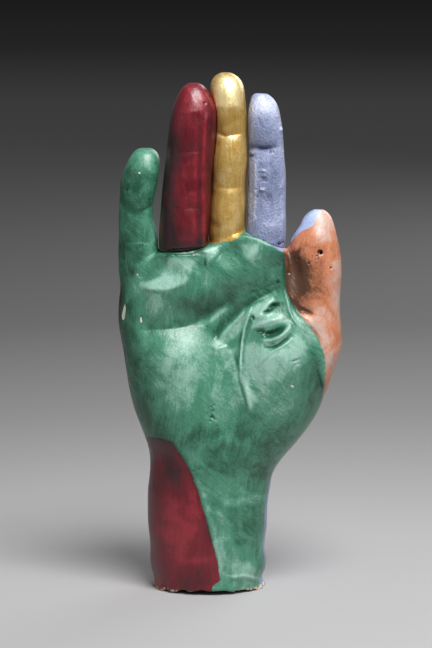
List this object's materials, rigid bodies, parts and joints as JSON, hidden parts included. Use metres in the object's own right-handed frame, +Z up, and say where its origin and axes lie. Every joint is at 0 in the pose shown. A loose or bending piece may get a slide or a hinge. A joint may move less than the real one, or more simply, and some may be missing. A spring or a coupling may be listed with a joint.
{
  "type": "hand sculpture",
  "caption": "Hollow painted ceramic right hand that stands on its open wrist, palm to the front, with upright digits joined to a two-part palm and wrist.",
  "frame": {"origin": "middle of the foot, on the plane that the cut rim of the wrist stands on", "axes": "+X to the thumb's side, +Y to the back of the hand, +Z up along the fingers"},
  "size_m": [0.1076, 0.0455, 0.2499],
  "materials": {
    "green_clay": "satin green paint, with a dark red patch on the wrist, over fired clay",
    "back_clay": "satin red and lavender blue paint over fired clay",
    "little_clay": "satin green paint, red behind, over fired clay",
    "crimson_clay": "satin crimson paint over fired clay",
    "gold_clay": "brushed gold paint over fired clay",
    "lavender_clay": "matt lavender blue paint over fired clay",
    "orange_clay": "satin orange paint, with a lavender blue patch, over fired clay",
    "bare_clay": "bare fired clay"
  },
  "bodies": {
    "root": {"palm_shell": "green_clay", "back_shell": "back_clay", "little_finger": "little_clay", "ring_finger": "crimson_clay", "middle_finger": "gold_clay", "index_finger": "lavender_clay", "thumb": "orange_clay", "little_finger_lute": "bare_clay", "ring_finger_lute": "bare_clay", "middle_finger_lute": "bare_clay", "index_finger_lute": "bare_clay", "thumb_lute": "bare_clay", "left_seam_coil": "bare_clay", "right_seam_coil": "bare_clay"}
  },
  "joints": []
}
